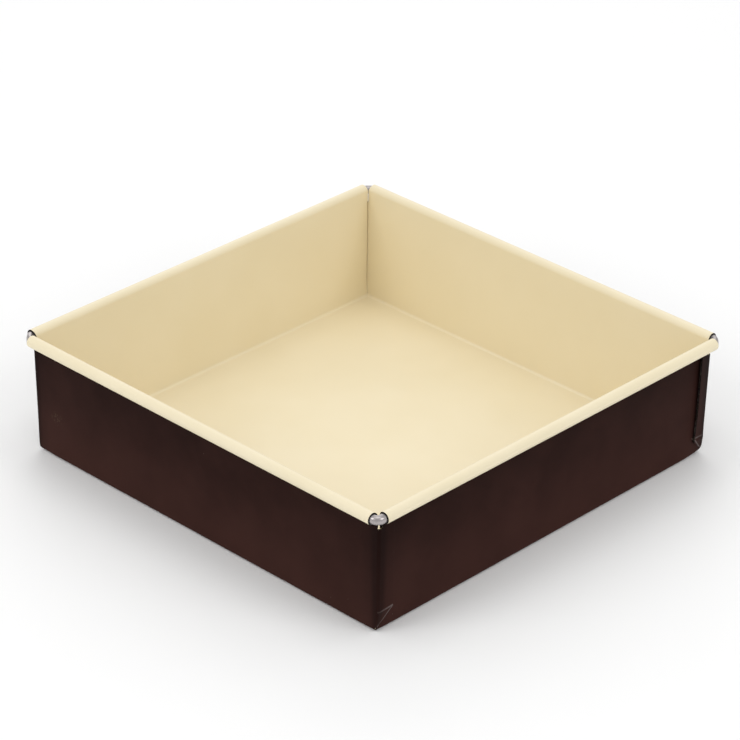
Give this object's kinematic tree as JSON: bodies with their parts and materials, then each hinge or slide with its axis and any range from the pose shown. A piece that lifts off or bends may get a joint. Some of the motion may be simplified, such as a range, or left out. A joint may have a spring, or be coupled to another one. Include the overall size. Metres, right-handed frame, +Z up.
{
  "type": "square baking pan",
  "caption": "Square folded-sheet baking pan with flat floor, slightly flared walls, pleated corners and a rim curled over a steel wire ring.",
  "frame": {"origin": "middle of the pan's flat underside", "axes": "+Z up through the pan's open mouth; the walls at +X and -X wrap round the corners, and the corner pleats lie on the outside of the walls at +Y and -Y"},
  "size_m": [0.2648, 0.2648, 0.0704],
  "materials": {
    "coated_sheet": "cream satin coat inside the pan and on the rim's curl, dark brown satin coat outside",
    "bare_wire": "bare drawn steel wire, seen only at the four corners of the rim"
  },
  "bodies": {
    "root": {"pan_sheet": "coated_sheet", "rim_wire": "bare_wire"}
  },
  "joints": []
}
